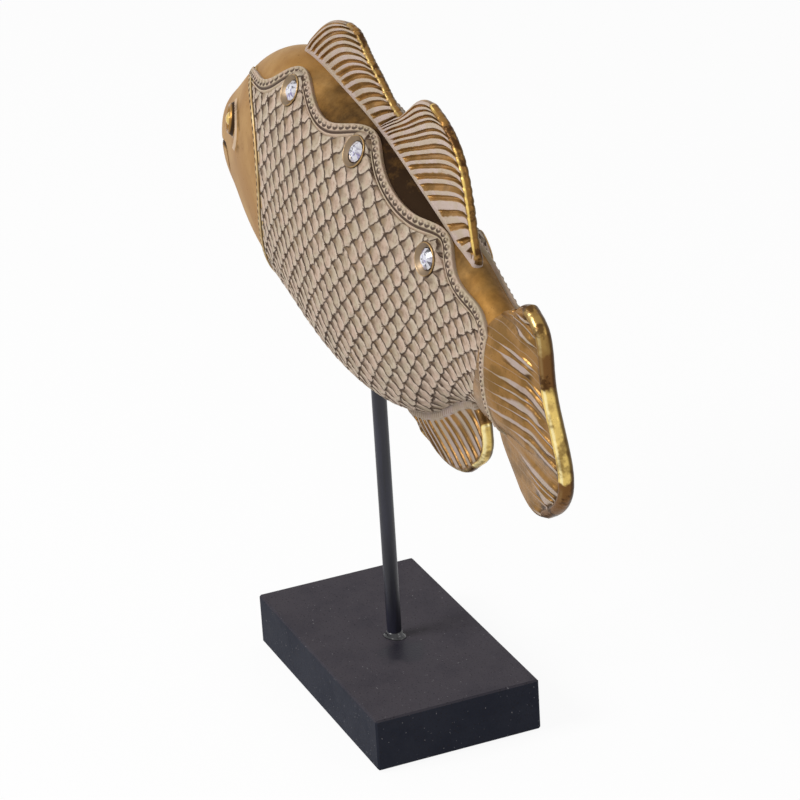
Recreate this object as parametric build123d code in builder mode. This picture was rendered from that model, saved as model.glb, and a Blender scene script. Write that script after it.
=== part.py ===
"""A fish figurine: a cast fish held level over a small block by one thin rod.

The head points to -X and the tail to +X. The figurine is alike on both sides of the XZ plane,
and it stands on the plane z = 0 with the rod over the origin.
"""

import os

from build123d import *

os.makedirs("parts", exist_ok=True)

# Base: a painted wooden block with a thin felt sheet glued under it.
block_length = 125
block_width = 70
block_height = 22
block_edge_chamfer = 0.7
felt_thickness = 1
felt_inset = 3

# Rod, and the screw and washer that draw it down into the block.
rod_diameter = 6
rod_socket_depth = 8
screw_diameter = 4
screw_grip_in_rod = 8
screw_clearance = 0.2
screw_head_diameter = 7
screw_head_height = 2.4
hex_socket_width = 2.5
hex_socket_depth = 1.4
washer_diameter = 10
washer_thickness = 0.8
recess_diameter = 12
recess_depth = 7
glue_spread = 2.2
glue_height = 2.6
# How high the rod reaches inside the body, from the mouth line, as a share of the body's depth.
rod_top_share = -0.24

# Fish as a whole: how far the nose lies ahead of the rod, and how high the mouth line lies.
nose_reach = 147.5
mouth_height = 195
body_length = 276
body_depth = 114
body_thickness = 52.4

# The scaled flank stands proud of the smooth head and back, and its border stands prouder still.
flank_relief = 1.0
border_relief = 0.8
border_width = 3.4
mouth_gap = 1.3

# Eyes: a round ball in a low lid.
eye_diameter = 8.4
eye_stand = 2.4
eye_lid_width = 2.2
eye_lid_stand = 0.9
eye_lid_slope = 25

# Fins are flat castings: a full rim and rays, with the fields between them sunk.
dorsal_thickness = 6
anal_thickness = 5
tail_thickness = 7
fin_edge_chamfer = 1.2
fin_rim_width = 3.2
fin_field_depth = 0.9
fin_hem_height = 3.5
ray_width = 2.1
tail_ray_width = 2.4

# Set stones: a faceted crystal in a shallow round cup.
cup_diameter = 11.6
cup_height = 3.4
cup_sink = 2.2
cup_wall = 1.0
cup_floor = 0.8
crystal_clearance = 0.05
crystal_sides = 12
# Height and radius of each ring of the crystal's edges, as shares of its radius.
crystal_shares = ((0.0, 0.25), (0.40, 1.0), (0.48, 1.0), (0.80, 0.56))

# Cross sections of the body from nose to tail root.
# Each row: distance along the body, top, bottom, half thickness.
station_shares = (
    (0.0, 0.063, -0.088, 0.092),
    (0.007, 0.102, -0.118, 0.177),
    (0.032, 0.168, -0.155, 0.310),
    (0.0815, 0.248, -0.199, 0.438),
    (0.154, 0.358, -0.261, 0.621),
    (0.254, 0.494, -0.335, 0.840),
    (0.362, 0.566, -0.389, 0.950),
    (0.489, 0.537, -0.460, 1.0),
    (0.625, 0.473, -0.488, 0.920),
    (0.761, 0.367, -0.415, 0.653),
    (0.874, 0.263, -0.271, 0.454),
    (0.942, 0.186, -0.232, 0.375),
    (1.0, 0.130, -0.232, 0.340),
)
# How far each quarter of a section keeps straight on: 0.55 is an ellipse, more is squarer.
section_fullness_share = 0.61

# Flank panel: the curved gill edge, then the scalloped upper border.
gill_shares = (
    (0.250, -0.42),
    (0.302, -0.23),
    (0.345, -0.03),
    (0.358, 0.14),
    (0.326, 0.319),
    (0.240, 0.425),
)
scallop_shares = (
    (0.287, 0.442),
    (0.330, 0.452),
    (0.365, 0.484),
    (0.405, 0.536),
    (0.450, 0.522),
    (0.500, 0.474),
    (0.557, 0.450),
    (0.607, 0.467),
    (0.650, 0.446),
    (0.696, 0.384),
    (0.740, 0.330),
    (0.794, 0.297),
    (0.838, 0.287),
    (0.872, 0.250),
    (0.900, 0.190),
    (0.927, 0.155),
    (0.970, 0.118),
)
tail_edge_share = (1.0, 0.06)

# Outlines of the fins, each a smooth curve through these places.
dorsal_front_shares = (
    (0.346, 0.530),
    (0.391, 0.638),
    (0.454, 0.723),
    (0.519, 0.757),
    (0.545, 0.752),
    (0.583, 0.690),
    (0.615, 0.646),
    (0.657, 0.582),
    (0.688, 0.553),
)
dorsal_rear_shares = (
    (0.688, 0.553),
    (0.726, 0.612),
    (0.758, 0.656),
    (0.798, 0.669),
    (0.831, 0.643),
    (0.862, 0.597),
    (0.885, 0.530),
    (0.898, 0.453),
    (0.905, 0.385),
    (0.911, 0.300),
    (0.908, 0.120),
)
tail_shares = (
    (0.996, 0.122),
    (1.035, 0.173),
    (1.056, 0.207),
    (1.075, 0.222),
    (1.092, 0.205),
    (1.111, 0.168),
    (1.120, 0.110),
    (1.125, -0.010),
    (1.139, -0.101),
    (1.153, -0.172),
    (1.165, -0.255),
    (1.163, -0.335),
    (1.131, -0.431),
    (1.104, -0.468),
    (1.079, -0.484),
    (1.056, -0.479),
    (1.030, -0.448),
    (1.004, -0.388),
    (0.972, -0.300),
    (0.953, -0.180),
)
anal_shares = (
    (0.672, -0.430),
    (0.652, -0.490),
    (0.703, -0.538),
    (0.748, -0.580),
    (0.796, -0.591),
    (0.826, -0.580),
    (0.856, -0.554),
    (0.883, -0.509),
    (0.910, -0.459),
    (0.922, -0.400),
    (0.920, -0.330),
    (0.910, -0.190),
)

# Rays: where the first and last rise from the root, and the reach of each beyond its foot.
front_ray_count = 13
front_root_shares = ((0.345, 0.53), (0.640, 0.44))
front_reach_shares = ((0.18, 0.21), (0.11, 0.11))
rear_ray_count = 15
rear_root_shares = ((0.650, 0.43), (0.900, 0.19))
rear_reach_shares = ((0.18, 0.18), (0.08, 0.05))
anal_ray_count = 10
anal_root_shares = ((0.645, -0.49), (0.890, -0.34))
anal_reach_shares = ((0.12, -0.12), (0.09, -0.05))
tail_ray_count = 15
tail_root_shares = ((0.985, 0.19), (1.020, -0.49))
tail_reach_shares = ((0.17, -0.06), (0.15, 0.06))

# The tail swells towards its root to meet the end of the body.
tail_root_length = 24
tail_root_step = 0.8

# Where the mouth line, the eyes and the stones sit.
mouth_shares = ((-0.01, -0.02), (0.05, -0.045))
mouth_bulge_share = 0.012
eye_share = (0.1766, 0.206)
stone_shares = {
    "front": (0.425, 0.484),
    "middle": (0.630, 0.411),
    "rear": (0.840, 0.201),
}

# Sizes that follow from those above.
block_top = felt_thickness + block_height
rod_top = mouth_height + rod_top_share * body_depth
rod_foot = block_top - rod_socket_depth
recess_top = felt_thickness + recess_depth
cut_reach = body_thickness


def place(share):
    """A place on the middle plane, from shares of the body's length and depth."""
    along, up = share
    return (along * body_length - nose_reach, mouth_height + up * body_depth)


def between(first, last, part):
    """A pair of shares part of the way from the first pair to the last."""
    return tuple(a + (b - a) * part for a, b in zip(first, last))


def half_form(grow):
    """The left half of the body lofted through its sections, made larger all round by grow."""
    with BuildPart() as form:
        for along, top, bottom, thick in station_shares:
            middle = mouth_height + (top + bottom) / 2 * body_depth
            rise = (top - bottom) / 2 * body_depth + grow
            side = thick * body_thickness / 2 + grow
            full_rise = section_fullness_share * rise
            full_side = section_fullness_share * side
            with BuildSketch(Plane.YZ.offset(along * body_length - nose_reach)):
                with BuildLine():
                    lower = Bezier(
                        (0, middle - rise),
                        (-full_side, middle - rise),
                        (-side, middle - full_rise),
                        (-side, middle),
                    )
                    upper = Bezier(
                        (-side, middle),
                        (-side, middle + full_rise),
                        (-full_side, middle + rise),
                        (0, middle + rise),
                    )
                    Line(upper @ 1, lower @ 0)
                make_face()
        loft()
    return form.part


def skin_plane(form, share):
    """The plane on the left skin of a form at a place seen from the side."""
    x, z = place(share)
    line_in = Axis((x, -body_length, z), (0, 1, 0))
    spot, normal = form.find_intersection_points(line_in)[0]
    return Plane(origin=spot, z_dir=normal)


def ray_face(roots, reaches, count, width):
    """Rays fanning from the root of a fin, as one flat sketch on the middle plane."""
    with BuildSketch(Plane.XZ) as rays:
        for number in range(count):
            part = (number + 0.5) / count
            foot = between(roots[0], roots[1], part)
            reach = between(reaches[0], reaches[1], part)
            tip = (foot[0] + reach[0], foot[1] + reach[1])
            with BuildLine() as ray:
                Line(place(foot), place(tip))
            trace(ray.line, width)
    return rays.sketch


def fin_casting(outline, fields, thickness):
    """A flat fin: thinned at the rim, with its fields sunk from both faces."""
    with BuildPart() as sunk:
        extrude(fields, amount=thickness, both=True)
        extrude(outline, amount=thickness / 2 - fin_field_depth, both=True, mode=Mode.SUBTRACT)
    with BuildPart() as casting:
        extrude(outline, amount=thickness / 2, both=True)
        chamfer(casting.edges().filter_by(Axis.Y, reverse=True), fin_edge_chamfer)
        add(sunk.part, mode=Mode.SUBTRACT)
    return casting.part


# Felt sheet under the block: the one face that touches the table.
with BuildPart() as felt_sheet:
    with BuildSketch():
        Rectangle(block_length - 2 * felt_inset, block_width - 2 * felt_inset)
    extrude(amount=felt_thickness)

# Block: softened edges, a socket for the rod and a recess below for the screw.
with BuildPart() as base_block:
    with BuildSketch(Plane.XY.offset(felt_thickness)):
        Rectangle(block_length, block_width)
    extrude(amount=block_height)
    chamfer(base_block.edges(), block_edge_chamfer)
    with BuildSketch(Plane.XY.offset(felt_thickness)):
        Circle(recess_diameter / 2)
    extrude(amount=recess_depth, mode=Mode.SUBTRACT)
    with BuildSketch(Plane.XY.offset(recess_top)):
        Circle(screw_diameter / 2 + screw_clearance)
    extrude(amount=rod_foot - recess_top, mode=Mode.SUBTRACT)
    with BuildSketch(Plane.XY.offset(rod_foot)):
        Circle(rod_diameter / 2)
    extrude(amount=rod_socket_depth, mode=Mode.SUBTRACT)

# Washer and socket-head screw.
with BuildPart() as base_washer:
    with BuildSketch(Plane.XY.offset(recess_top)):
        Circle(washer_diameter / 2)
        Circle(screw_diameter / 2 + screw_clearance, mode=Mode.SUBTRACT)
    extrude(amount=-washer_thickness)

with BuildPart() as base_screw:
    with BuildSketch(Plane.XY.offset(recess_top - washer_thickness)):
        Circle(screw_head_diameter / 2)
    extrude(amount=-screw_head_height)
    with BuildSketch(Plane.XY.offset(recess_top - washer_thickness)):
        Circle(screw_diameter / 2)
    extrude(amount=rod_foot + screw_grip_in_rod - recess_top + washer_thickness)
    with BuildSketch(Plane.XY.offset(recess_top - washer_thickness - screw_head_height)):
        RegularPolygon(hex_socket_width / 2, 6, major_radius=False)
    extrude(amount=hex_socket_depth, mode=Mode.SUBTRACT)

# Body of the fish, left half first: the smooth form, the flank standing proud of it inside the
# gill edge and the scalloped line, and its border left standing where the field is sunk.
smooth_form = half_form(0)
flank_form = half_form(flank_relief)
border_form = half_form(flank_relief + border_relief)

with BuildSketch(Plane.XZ) as flank_outline:
    with BuildLine():
        gill_edge = Spline(*[place(share) for share in gill_shares])
        scallops = Spline(
            gill_edge @ 1, *[place(share) for share in scallop_shares], place(tail_edge_share)
        )
        tail_edge = Line(scallops @ 1, place((1, gill_shares[0][1])))
        Line(tail_edge @ 1, gill_edge @ 0)
    make_face()

with BuildSketch(Plane.XZ) as field_outline:
    add(flank_outline.sketch)
    for edge in (gill_edge, scallops, tail_edge):
        trace(edge, 2 * border_width, mode=Mode.SUBTRACT)

with BuildPart() as sunk_field:
    extrude(field_outline.sketch, amount=cut_reach)
    add(flank_form, mode=Mode.SUBTRACT)

stone_planes = {name: skin_plane(flank_form, share) for name, share in stone_shares.items()}
eye_plane = skin_plane(smooth_form, eye_share)

with BuildPart() as proud_flank:
    add(border_form)
    extrude(flank_outline.sketch, amount=cut_reach, mode=Mode.INTERSECT)
    add(sunk_field.part, mode=Mode.SUBTRACT)

with BuildPart() as left_half:
    add(smooth_form)
    add(proud_flank.part)
    with BuildSketch(eye_plane.offset(eye_lid_stand)):
        Circle(eye_diameter / 2 + eye_lid_width)
    extrude(amount=-eye_diameter / 2, taper=-eye_lid_slope)
    with Locations(eye_plane.offset(eye_stand - eye_diameter / 2)):
        Sphere(eye_diameter / 2)
    with BuildSketch(Plane.XZ):
        with BuildLine() as lips:
            SagittaArc(*[place(share) for share in mouth_shares], mouth_bulge_share * body_length)
        trace(lips.line, mouth_gap)
    extrude(amount=cut_reach, mode=Mode.SUBTRACT)
    for plane in stone_planes.values():
        with BuildSketch(plane.offset(-cup_sink)):
            Circle(cup_diameter / 2)
        extrude(amount=cup_height + cup_sink, mode=Mode.SUBTRACT)

with BuildPart() as fish_body:
    add(left_half.part)
    mirror(about=Plane.XZ)
    with BuildSketch(Plane.XY.offset(rod_top)):
        Circle(rod_diameter / 2)
    extrude(amount=-body_depth, mode=Mode.SUBTRACT)

# Rod, with a tapped hole in its foot, and the bead of black glue round it.
with BuildPart() as support_rod:
    with BuildSketch(Plane.XY.offset(rod_foot)):
        Circle(rod_diameter / 2)
    extrude(amount=rod_top - rod_foot)
    with BuildSketch(Plane.XY.offset(rod_foot)):
        Circle(screw_diameter / 2)
    extrude(amount=screw_grip_in_rod, mode=Mode.SUBTRACT)

with BuildPart() as glue_bead:
    with BuildSketch(Plane.XZ):
        with BuildLine():
            foot_in = (rod_diameter / 2, block_top)
            foot_out = (rod_diameter / 2 + glue_spread, block_top)
            top_in = (rod_diameter / 2, block_top + glue_height)
            Line(foot_in, foot_out)
            Line(foot_out, top_in)
            Line(top_in, foot_in)
        make_face()
    revolve(axis=Axis.Z)

# Dorsal fin: two lobes on one root, rays leaning back, root cut to the fish's back.
with BuildSketch(Plane.XZ) as dorsal_outline:
    with BuildLine():
        front_lobe = Spline(*[place(share) for share in dorsal_front_shares])
        rear_lobe = Spline(*[place(share) for share in dorsal_rear_shares])
        Line(rear_lobe @ 1, front_lobe @ 0)
    make_face()

with BuildSketch(Plane.XZ) as back_hem:
    with BuildLine():
        hem = Spline(
            *[
                (along * body_length - nose_reach, mouth_height + top * body_depth + fin_hem_height)
                for along, top, bottom, thick in station_shares
            ]
        )
        Polyline(hem @ 1, place((1, -1)), place((0, -1)), hem @ 0)
    make_face()

with BuildSketch(Plane.XZ) as dorsal_fields:
    add(dorsal_outline.sketch)
    for edge in (front_lobe, rear_lobe):
        trace(edge, 2 * fin_rim_width, mode=Mode.SUBTRACT)
    add(back_hem.sketch, mode=Mode.SUBTRACT)
    add(
        ray_face(front_root_shares, front_reach_shares, front_ray_count, ray_width),
        mode=Mode.SUBTRACT,
    )
    add(
        ray_face(rear_root_shares, rear_reach_shares, rear_ray_count, ray_width),
        mode=Mode.SUBTRACT,
    )

with BuildPart() as dorsal_fin:
    add(fin_casting(dorsal_outline.sketch, dorsal_fields.sketch, dorsal_thickness))
    add(fish_body.part, mode=Mode.SUBTRACT)

# Anal fin under the tail end of the belly.
with BuildSketch(Plane.XZ) as anal_outline:
    with BuildLine():
        anal_edge = Spline(*[place(share) for share in anal_shares])
        Line(anal_edge @ 1, anal_edge @ 0)
    make_face()

with BuildSketch(Plane.XZ) as belly_hem:
    with BuildLine():
        hem = Spline(
            *[
                (along * body_length - nose_reach, mouth_height + bottom * body_depth - fin_hem_height)
                for along, top, bottom, thick in station_shares
            ]
        )
        Polyline(hem @ 1, place((1, 1)), place((0, 1)), hem @ 0)
    make_face()

with BuildSketch(Plane.XZ) as anal_fields:
    add(anal_outline.sketch)
    trace(anal_edge, 2 * fin_rim_width, mode=Mode.SUBTRACT)
    add(belly_hem.sketch, mode=Mode.SUBTRACT)
    add(
        ray_face(anal_root_shares, anal_reach_shares, anal_ray_count, ray_width),
        mode=Mode.SUBTRACT,
    )

with BuildPart() as anal_fin:
    add(fin_casting(anal_outline.sketch, anal_fields.sketch, anal_thickness))
    add(fish_body.part, mode=Mode.SUBTRACT)

# Tail fin: a broad plate with a swollen root against the end of the body.
with BuildSketch(Plane.XZ) as tail_outline:
    with BuildLine():
        tail_edge_line = Spline(*[place(share) for share in tail_shares])
        Line(tail_edge_line @ 1, tail_edge_line @ 0)
    make_face()

with BuildSketch(Plane.XZ) as tail_fields:
    add(tail_outline.sketch)
    trace(tail_edge_line, 2 * fin_rim_width, mode=Mode.SUBTRACT)
    add(
        ray_face(tail_root_shares, tail_reach_shares, tail_ray_count, tail_ray_width),
        mode=Mode.SUBTRACT,
    )

end_top, end_bottom, end_thick = station_shares[-1][1:]
end_half_height = (end_top - end_bottom) / 2 * body_depth
end_middle = mouth_height + (end_top + end_bottom) / 2 * body_depth
tail_x = body_length - nose_reach

with BuildPart() as tail_fin:
    add(fin_casting(tail_outline.sketch, tail_fields.sketch, tail_thickness))
    add(fish_body.part, mode=Mode.SUBTRACT)
    with BuildSketch(Plane.YZ.offset(tail_x)):
        with Locations((0, end_middle)):
            Ellipse(end_thick * body_thickness / 2 - tail_root_step, end_half_height - tail_root_step)
    with BuildSketch(Plane.YZ.offset(tail_x + tail_root_length)):
        with Locations((0, end_middle)):
            Ellipse(tail_thickness / 2, end_half_height)
    loft()

finished = {
    "felt_sheet": felt_sheet.part,
    "base_block": base_block.part,
    "base_washer": base_washer.part,
    "base_screw": base_screw.part,
    "support_rod": support_rod.part,
    "glue_bead": glue_bead.part,
    "fish_body": fish_body.part,
    "dorsal_fin": dorsal_fin.part,
    "anal_fin": anal_fin.part,
    "tail_fin": tail_fin.part,
}

# Stones: three cups and crystals on the left flank and their mirror images on the right.
crystal_radius = cup_diameter / 2 - cup_wall - crystal_clearance
for name, plane in stone_planes.items():
    with BuildPart() as cup:
        with BuildSketch(plane.offset(-cup_sink)):
            Circle(cup_diameter / 2)
        extrude(amount=cup_height)
        with BuildSketch(plane.offset(cup_floor - cup_sink)):
            Circle(cup_diameter / 2 - cup_wall)
        extrude(amount=cup_height - cup_floor, mode=Mode.SUBTRACT)
    with BuildPart() as crystal:
        for rise, reach in crystal_shares:
            with BuildSketch(plane.offset(cup_floor - cup_sink + rise * crystal_radius)):
                RegularPolygon(reach * crystal_radius, crystal_sides)
        loft(ruled=True)
    with BuildPart() as right_cup:
        mirror(cup.part, about=Plane.XZ)
    with BuildPart() as right_crystal:
        mirror(crystal.part, about=Plane.XZ)
    finished["cup_left_" + name] = cup.part
    finished["cup_right_" + name] = right_cup.part
    finished["crystal_left_" + name] = crystal.part
    finished["crystal_right_" + name] = right_crystal.part

for name, piece in finished.items():
    piece.label = name
    export_step(piece, "parts/" + name + ".step")
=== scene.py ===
# %% [markdown]
# # A gilded fish on a thin rod
# This lesson builds the looks of a cast fish ornament around its exact CAD model.
# The plain parts keep their CAD meshes and get a finish. The fish itself is modelled again here,
# because its scales, beads, rays and worn gilding are too fine for the CAD model.

# %% The shared frame
import math

import bmesh
import bpy
import numpy as np
from mathutils import Matrix, Vector


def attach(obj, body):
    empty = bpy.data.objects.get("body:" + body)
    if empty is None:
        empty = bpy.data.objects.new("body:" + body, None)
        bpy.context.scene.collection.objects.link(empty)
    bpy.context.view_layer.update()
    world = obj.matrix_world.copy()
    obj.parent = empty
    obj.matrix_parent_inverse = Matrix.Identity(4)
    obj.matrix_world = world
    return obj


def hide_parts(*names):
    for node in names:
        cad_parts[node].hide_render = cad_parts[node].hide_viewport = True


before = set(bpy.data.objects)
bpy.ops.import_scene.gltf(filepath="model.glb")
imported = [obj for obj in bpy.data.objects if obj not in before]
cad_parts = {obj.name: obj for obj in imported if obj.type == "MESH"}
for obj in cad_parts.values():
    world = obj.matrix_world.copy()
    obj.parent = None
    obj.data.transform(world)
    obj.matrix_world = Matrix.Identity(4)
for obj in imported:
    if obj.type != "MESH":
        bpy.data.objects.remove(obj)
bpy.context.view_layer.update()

scene = bpy.context.scene

# %% [markdown]
# ## The main sizes
# Every length below is in millimetres and every place on the fish is a share of its length and
# depth, as on the CAD model. Keeping the same numbers makes the new surfaces lie on the solid ones.
# A station is one cross section: its share of the length, its top, its bottom and its half thickness.

# %% Sizes of the fish
nose_reach, mouth_height = 147.5, 195
body_length, body_depth, body_thickness = 276, 114, 52.4
fullness = 0.61
start_x, end_x = -nose_reach, body_length - nose_reach
stations = (
    (0, .063, -.088, .092), (.007, .102, -.118, .177), (.032, .168, -.155, .310),
    (.0815, .248, -.199, .438), (.154, .358, -.261, .621), (.254, .494, -.335, .840),
    (.362, .566, -.389, .950), (.489, .537, -.460, 1), (.625, .473, -.488, .920),
    (.761, .367, -.415, .653), (.874, .263, -.271, .454), (.942, .186, -.238, .375),
    (1, .130, -.270, .340),
)
gill = ((.250, -.42), (.302, -.23), (.345, -.03), (.358, .14), (.326, .319), (.240, .425))
scallops = (
    (.240, .425), (.287, .442), (.330, .452), (.365, .484), (.405, .536), (.450, .522),
    (.500, .474), (.557, .450), (.607, .467), (.650, .446), (.696, .384), (.740, .330),
    (.794, .297), (.838, .287), (.872, .250), (.900, .190), (.927, .155), (.970, .118), (1, .06),
)


def places(shares):
    """Points in the XZ plane, in millimetres, from shares of the body's length and depth."""
    shares = np.array(shares, float)
    return np.stack([shares[:, 0] * body_length - nose_reach,
                     shares[:, 1] * body_depth + mouth_height], 1)


print("the body reaches from x", start_x, "to", end_x, "mm")

# %% [markdown]
# ## Smooth curves through a few places
# A cubic spline with the chord as its measure passes smoothly through unevenly spaced places.
# The function then walks along it in equal steps, so that meshes built on it have even faces.

# %% Smooth curves
def smooth(points, count):
    """Count rows spaced evenly along a smooth curve through the points."""
    p = np.array(points, float)
    t = np.concatenate([[0], np.cumsum(np.linalg.norm(np.diff(p, axis=0), axis=1))])
    h = np.diff(t)
    system, right = np.eye(len(p)), np.zeros_like(p)
    for i in range(1, len(p) - 1):
        system[i, i - 1:i + 2] = h[i - 1], 2 * (h[i - 1] + h[i]), h[i]
        right[i] = 6 * ((p[i + 1] - p[i]) / h[i] - (p[i] - p[i - 1]) / h[i - 1])
    bend = np.linalg.solve(system, right)
    q = np.linspace(0, t[-1], 2000)
    k = np.clip(np.searchsorted(t, q) - 1, 0, len(p) - 2)
    a, g = ((t[k + 1] - q) / h[k])[:, None], h[k][:, None]
    b = 1 - a
    dense = a * p[k] + b * p[k + 1] + ((a**3 - a) * bend[k] + (b**3 - b) * bend[k + 1]) * g**2 / 6
    return even(dense, count)


def even(line, count):
    """The same line cut into equal steps."""
    s = np.concatenate([[0], np.cumsum(np.linalg.norm(np.diff(line, axis=0), axis=1))])
    q = np.linspace(0, s[-1], count)
    return np.stack([np.interp(q, s, column) for column in line.T], 1)


def ease(value, start, end):
    """Rises smoothly from 0 at start to 1 at end."""
    t = np.clip((value - start) / (end - start), 0, 1)
    return t * t * (3 - 2 * t)


print("a smooth hump in five places", smooth(((0, 0), (1, 1), (2, 0)), 5).round(2).tolist())

# %% [markdown]
# ## The form of the body
# The body is a row of rounded cross sections. A place on its skin needs two numbers: x along the
# body, and w round the section, from -1 at the keel through 0 at the side to 1 on the back.
# Growing a section outwards gives the proud flank and its prouder border from the same form.

# %% The body as a formula
station_rows = np.array([(along * body_length - nose_reach, mouth_height + top * body_depth,
                          mouth_height + bottom * body_depth, half * body_thickness / 2)
                         for along, top, bottom, half in stations])
form = smooth(station_rows, 1500)
round_steps = np.linspace(0, 1, 200)


def across(t):
    """Share of the half thickness at t, from 1 at the side to 0 on the back."""
    return (1 - t)**3 + 3 * (1 - t)**2 * t + 3 * fullness * (1 - t) * t**2


def upward(t):
    """Share of the half height at t, from 0 at the side to 1 on the back."""
    return 3 * fullness * (1 - t)**2 * t + 3 * (1 - t) * t**2 + t**3


def section(x):
    """Middle height, half height and half thickness of the body at x."""
    top, bottom, side = (np.interp(x, form[:, 0], form[:, i]) for i in (1, 2, 3))
    return (top + bottom) / 2, (top - bottom) / 2, side


def skin(x, w, grow):
    """Y and Z on the right flank, at x and w, on the form grown outwards."""
    middle, rise, side = section(x)
    t = np.abs(w)
    return (side + grow) * across(t), middle + np.sign(w) * (rise + grow) * upward(t)


print("the body is", round(form[:, 3].max() * 2, 1), "mm thick and",
      round(form[:, 1].max() - form[:, 2].min(), 1), "mm deep")

# %% [markdown]
# ## Measures on the skin
# Lines drawn on the photographed side are known by x and z, so their w has to be found. Lengths
# along the skin are needed too, because scales and beads keep their size where the skin curves.

# %% Measures on the skin
def round_place(x, z):
    """The w of a place seen from the side."""
    middle, rise, _ = section(x)
    share = np.clip((z - middle) / rise, -1, 1)
    return np.sign(share) * np.interp(np.abs(share), upward(round_steps), round_steps)


def girth(x, w):
    """Length along the skin from the middle of the side to w, positive upwards."""
    _, rise, side = section(x)
    total = np.zeros_like(x)
    last = side * across(0), rise * upward(0)
    for i in range(1, 25):
        t = np.abs(w) * i / 24
        here = side * across(t), rise * upward(t)
        total = total + np.hypot(here[0] - last[0], here[1] - last[1])
        last = here
    return total * np.sign(w)


print("over the rod the skin is", girth(np.zeros(1), np.ones(1)).round(1), "mm from side to back")

# %% [markdown]
# ## Making pieces
# The large pieces start as a flat operator-made grid whose corners are then moved by the formula.
# The grid's own corners give u and v from 0 to 1, so the formula never counts vertices.
# Numbers that the finish needs later, such as the distance from a rim, are kept on the mesh.

# %% Helpers for pieces
mm = 0.001


def grid(columns, rows):
    """A flat grid, and the u and v of its vertices."""
    bm = bmesh.new()
    bmesh.ops.create_grid(bm, x_segments=columns, y_segments=rows, size=0.5)
    flat = np.array([v.co[:2] for v in bm.verts]) + 0.5
    return bm, flat[:, 0], flat[:, 1]


def shape(bm, points, **notes):
    """Moves the grid's vertices to the points, given in millimetres, and keeps notes on them."""
    layers = {name: bm.verts.layers.float.new(name) for name in notes}
    for i, vertex in enumerate(bm.verts):
        vertex.co = points[i] * mm
        for name, layer in layers.items():
            vertex[layer] = notes[name][i]


def piece(bm, name, finish, nodes=(), outward=None, sharp=False):
    """Merges and turns the faces, and makes the object that rides on the CAD body."""
    bmesh.ops.remove_doubles(bm, verts=bm.verts, dist=2e-6)
    bmesh.ops.recalc_face_normals(bm, faces=bm.faces)
    if outward is not None:
        facing = sum(f.normal.dot(Vector(outward)) * f.calc_area() for f in bm.faces)
        if facing < 0:
            bmesh.ops.reverse_faces(bm, faces=bm.faces)
    for f in bm.faces:
        f.smooth = not sharp
    mesh = bpy.data.meshes.new(name)
    bm.to_mesh(mesh)
    bm.free()
    thing = bpy.data.objects.new(name, mesh)
    scene.collection.objects.link(thing)
    mesh.materials.append(finish)
    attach(thing, "root")
    if nodes:
        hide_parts(*nodes)
    print(name, len(mesh.vertices), "vertices", len(mesh.polygons), "faces")


print("pieces are written in metres, one millimetre is", mm)

# %% [markdown]
# ## Arithmetic for shaders
# Every node is made by one function, which sets the node up and fills its inputs. It hands back a
# Signal, which wraps one output of the node, so that sums and products of signals read as plain
# arithmetic and build their Math nodes by themselves.

# %% Signals
def add_node(tree, kind, settings=(), values=(), output=0, stops=()):
    """Any node: its settings and its hard colour stops first, then the values of its inputs."""
    node = tree.nodes.new(kind)
    for name, value in dict(settings).items():
        setattr(node, name, value)
    if stops:
        node.color_ramp.interpolation = "CONSTANT"
        elements = node.color_ramp.elements
        for where, _ in stops[2:]:
            elements.new(where)
        for element, (where, colour) in zip(elements, stops):
            element.position, element.color = where, (*colour, 1)
    for name, value in dict(values).items():
        if isinstance(value, Signal):
            tree.links.new(value.socket, node.inputs[name])
        else:
            node.inputs[name].default_value = value
    return Signal(tree, node.outputs[output])


class Signal:
    def __init__(self, tree, socket):
        self.tree, self.socket = tree, socket

    def apply(self, operation, *terms):
        return add_node(self.tree, "ShaderNodeMath", {"operation": operation}, enumerate(terms))

    def __add__(self, other):
        return self.apply("ADD", self, other)

    def __radd__(self, other):
        return self.apply("ADD", other, self)

    def __sub__(self, other):
        return self.apply("SUBTRACT", self, other)

    def __rsub__(self, other):
        return self.apply("SUBTRACT", other, self)

    def __mul__(self, other):
        return self.apply("MULTIPLY", self, other)

    def __rmul__(self, other):
        return self.apply("MULTIPLY", other, self)

    def __truediv__(self, other):
        return self.apply("DIVIDE", self, other)

    def __pow__(self, other):
        return self.apply("POWER", self, other)

    def __lt__(self, other):
        return self.apply("LESS_THAN", self, other)

    def __gt__(self, other):
        return self.apply("GREATER_THAN", self, other)

    def __abs__(self):
        return self.apply("ABSOLUTE", self)

    def floor(self):
        return self.apply("FLOOR", self)

    def least(self, other):
        return self.apply("MINIMUM", self, other)

    def most(self, other):
        return self.apply("MAXIMUM", self, other)

    def ramp(self, start, end):
        """0 at start and 1 at end, smooth between them; end may be the smaller."""
        falling = start > end
        return add_node(self.tree, "ShaderNodeMapRange", {"interpolation_type": "SMOOTHSTEP"}, {
            0: self, 1: min(start, end), 2: max(start, end), 3: int(falling), 4: int(not falling)})


print("a signal has", [name for name in vars(Signal) if not name.startswith("_")])

# %% [markdown]
# ## A material in a few words
# A Finish is one material with its shader. Constants are set on the shader's own sockets when it
# is made, and whatever changes over the surface is fed to it afterwards.

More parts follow.
